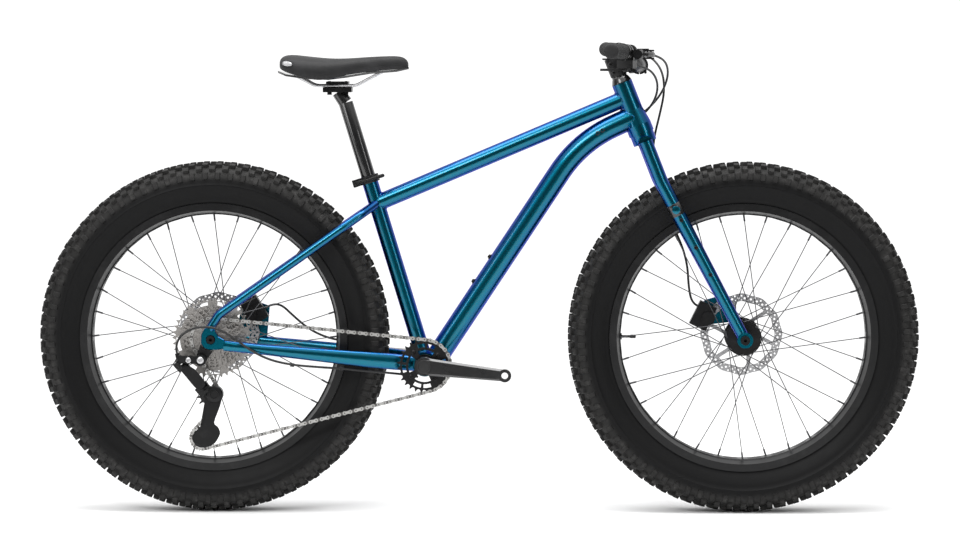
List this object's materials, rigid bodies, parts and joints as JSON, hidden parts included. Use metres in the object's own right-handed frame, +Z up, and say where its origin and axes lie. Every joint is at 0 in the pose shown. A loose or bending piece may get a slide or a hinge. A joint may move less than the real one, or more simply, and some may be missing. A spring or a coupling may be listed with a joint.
{
  "type": "fat tire bike",
  "caption": "Rigid fat tire bike with a bent down tube, wide tyres, disc brakes and a single-ring derailleur drive.",
  "frame": {"origin": "on the ground midway between the two axles, in the bike's middle plane", "axes": "+X forward, +Z up, the drive side is -Y"},
  "size_m": [1.9118, 0.7528, 1.0185],
  "materials": {
    "frame_paint": "gloss metallic teal over aluminium",
    "tyre_rubber": "matt dark rubber",
    "rim_alloy": "satin black anodised",
    "spoke_steel": "dark bright steel",
    "black_alloy": "satin black anodised",
    "bearing_steel": "ground",
    "rotor_steel": "ground",
    "sprocket_steel": "nickel plated",
    "chain_steel": "nickel plated, oiled",
    "rail_steel": "bright",
    "saddle_skin": "matt black synthetic",
    "saddle_shell": "gloss black",
    "grip_rubber": "soft matt",
    "shifter_plastic": "matt black",
    "hose_jacket": "satin black"
  },
  "bodies": {
    "frame": {"head_tube": "frame_paint", "top_tube": "frame_paint", "down_tube": "frame_paint", "seat_tube": "frame_paint", "bottom_bracket_shell": "frame_paint", "chainstays": "frame_paint", "seatstays": "frame_paint", "derailleur_hanger": "black_alloy", "derailleur_knuckle": "black_alloy", "headset_bearings": "bearing_steel", "bottom_bracket_cups": "black_alloy", "seat_clamp": "black_alloy", "rear_brake_caliper": "black_alloy", "rear_axle": "black_alloy", "rear_hose_and_housing": "hose_jacket", "chain": "chain_steel"},
    "seat_clamp_lever": {"seat_clamp_lever": "black_alloy"},
    "seatpost": {"seatpost": "black_alloy", "saddle_clamp": "black_alloy", "saddle_rails": "rail_steel", "saddle_base": "saddle_shell", "saddle_cover": "saddle_skin"},
    "fork": {"fork_crown": "frame_paint", "fork_leg_right": "frame_paint", "fork_leg_left": "frame_paint", "headset_cover": "black_alloy", "stem": "black_alloy", "stem_faceplate": "black_alloy", "handlebar": "black_alloy", "grips": "grip_rubber", "brake_lever_body_right": "black_alloy", "brake_lever_body_left": "black_alloy", "shifter_body": "shifter_plastic", "front_brake_caliper": "black_alloy", "front_axle": "black_alloy", "front_brake_hose": "hose_jacket"},
    "brake_blade_right": {"brake_blade_right": "black_alloy"},
    "brake_blade_left": {"brake_blade_left": "black_alloy"},
    "shift_paddle": {"shift_paddle": "shifter_plastic"},
    "release_paddle": {"release_paddle": "shifter_plastic"},
    "front_wheel": {"front_tire": "tyre_rubber", "front_rim": "rim_alloy", "front_spokes": "spoke_steel", "front_hub": "black_alloy", "front_rotor": "rotor_steel"},
    "rear_wheel": {"rear_tire": "tyre_rubber", "rear_rim": "rim_alloy", "rear_spokes": "spoke_steel", "rear_hub": "black_alloy", "rear_rotor": "rotor_steel"},
    "cassette": {"cassette": "sprocket_steel"},
    "crank": {"crank_arm_right": "black_alloy", "crank_arm_left": "black_alloy", "chainring": "black_alloy"},
    "derailleur_outer_link": {"derailleur_outer_link": "black_alloy"},
    "derailleur_inner_link": {"derailleur_inner_link": "black_alloy"},
    "derailleur_body": {"derailleur_body": "black_alloy"},
    "derailleur_cage": {"derailleur_cage": "black_alloy"},
    "guide_pulley": {"guide_pulley": "shifter_plastic"},
    "tension_pulley": {"tension_pulley": "shifter_plastic"}
  },
  "joints": [
    {"name": "steering", "type": "hinge", "parent": "frame", "child": "fork", "pos_m": [0.35374, 0, 0.82264], "axis": [-0.3665, 0, 0.9304], "range_deg": [-70, 70], "deforming": ["rear_hose_and_housing"]},
    {"name": "front_wheel_spin", "type": "hinge", "parent": "fork", "child": "front_wheel", "pos_m": [0.575, 0, 0.381], "axis": [0, 1, 0], "continuous": true},
    {"name": "rear_wheel_spin", "type": "hinge", "parent": "frame", "child": "rear_wheel", "pos_m": [-0.575, 0, 0.381], "axis": [0, 1, 0], "continuous": true},
    {"name": "crank_spin", "type": "hinge", "parent": "frame", "child": "crank", "pos_m": [-0.11565, 0, 0.323], "axis": [0, 1, 0], "continuous": true, "deforming": ["chain"]},
    {"name": "cassette_spin", "type": "hinge", "parent": "frame", "child": "cassette", "pos_m": [-0.575, 0, 0.381], "axis": [0, 1, 0], "continuous": true},
    {"name": "seatpost_slide", "type": "slide", "parent": "frame", "child": "seatpost", "axis": [-0.2924, 0, 0.9563], "range_m": [-0.12, 0.03]},
    {"name": "seat_clamp_swing", "type": "hinge", "parent": "frame", "child": "seat_clamp_lever", "pos_m": [-0.26655, -0.017, 0.71396], "axis": [0.2924, 0, -0.9563], "range_deg": [0, 130]},
    {"name": "brake_right", "type": "hinge", "parent": "fork", "child": "brake_blade_right", "pos_m": [0.36679, -0.20908, 0.99531], "axis": [0, -0.0091, -1], "range_deg": [0, 18], "stiffness_Nm_per_rad": 2},
    {"name": "brake_left", "type": "hinge", "parent": "fork", "child": "brake_blade_left", "pos_m": [0.36679, 0.20908, 0.99531], "axis": [0, -0.0091, 1], "range_deg": [0, 18], "stiffness_Nm_per_rad": 2},
    {"name": "shift_press", "type": "hinge", "parent": "fork", "child": "shift_paddle", "pos_m": [0.31263, -0.19501, 0.96318], "axis": [0, 0.0091, 1], "range_deg": [0, 30], "stiffness_Nm_per_rad": 0.6},
    {"name": "release_press", "type": "hinge", "parent": "fork", "child": "release_paddle", "pos_m": [0.30758, -0.18545, 0.98509], "axis": [0, 0.0091, 1], "range_deg": [0, 15], "stiffness_Nm_per_rad": 0.6},
    {"name": "derailleur_shift", "type": "hinge", "parent": "frame", "child": "derailleur_outer_link", "pos_m": [-0.63242, -0.10622, 0.3263], "axis": [0.6182, 0.5736, 0.5374], "range_deg": [-18, 23], "deforming": ["chain"]},
    {"name": "derailleur_inner_follow", "type": "hinge", "parent": "frame", "child": "derailleur_inner_link", "pos_m": [-0.63762, -0.09638, 0.32178], "axis": [0.6182, 0.5736, 0.5374], "range_deg": [-18, 23]},
    {"name": "derailleur_body_follow", "type": "hinge", "parent": "derailleur_outer_link", "child": "derailleur_body", "pos_m": [-0.5924, -0.10622, 0.28026], "axis": [0.6182, 0.5736, 0.5374], "range_deg": [-23, 18]},
    {"name": "cage_swing", "type": "hinge", "parent": "derailleur_body", "child": "derailleur_cage", "pos_m": [-0.571, -0.077, 0.264], "axis": [0, -1, 0], "range_deg": [-15, 45], "stiffness_Nm_per_rad": 0.6, "deforming": ["chain"]},
    {"name": "guide_pulley_spin", "type": "hinge", "parent": "derailleur_cage", "child": "guide_pulley", "pos_m": [-0.581, -0.077, 0.258], "axis": [0, 1, 0], "continuous": true},
    {"name": "tension_pulley_spin", "type": "hinge", "parent": "derailleur_cage", "child": "tension_pulley", "pos_m": [-0.59732, -0.077, 0.16543], "axis": [0, 1, 0], "continuous": true}
  ],
  "couplings": [
    {"joint": "cassette_spin", "follows": "crank_spin", "ratio": 1.2727},
    {"joint": "guide_pulley_spin", "follows": "crank_spin", "ratio": -2.3333},
    {"joint": "tension_pulley_spin", "follows": "crank_spin", "ratio": 2.3333},
    {"joint": "derailleur_inner_follow", "follows": "derailleur_shift", "ratio": 1},
    {"joint": "derailleur_body_follow", "follows": "derailleur_shift", "ratio": -1}
  ]
}
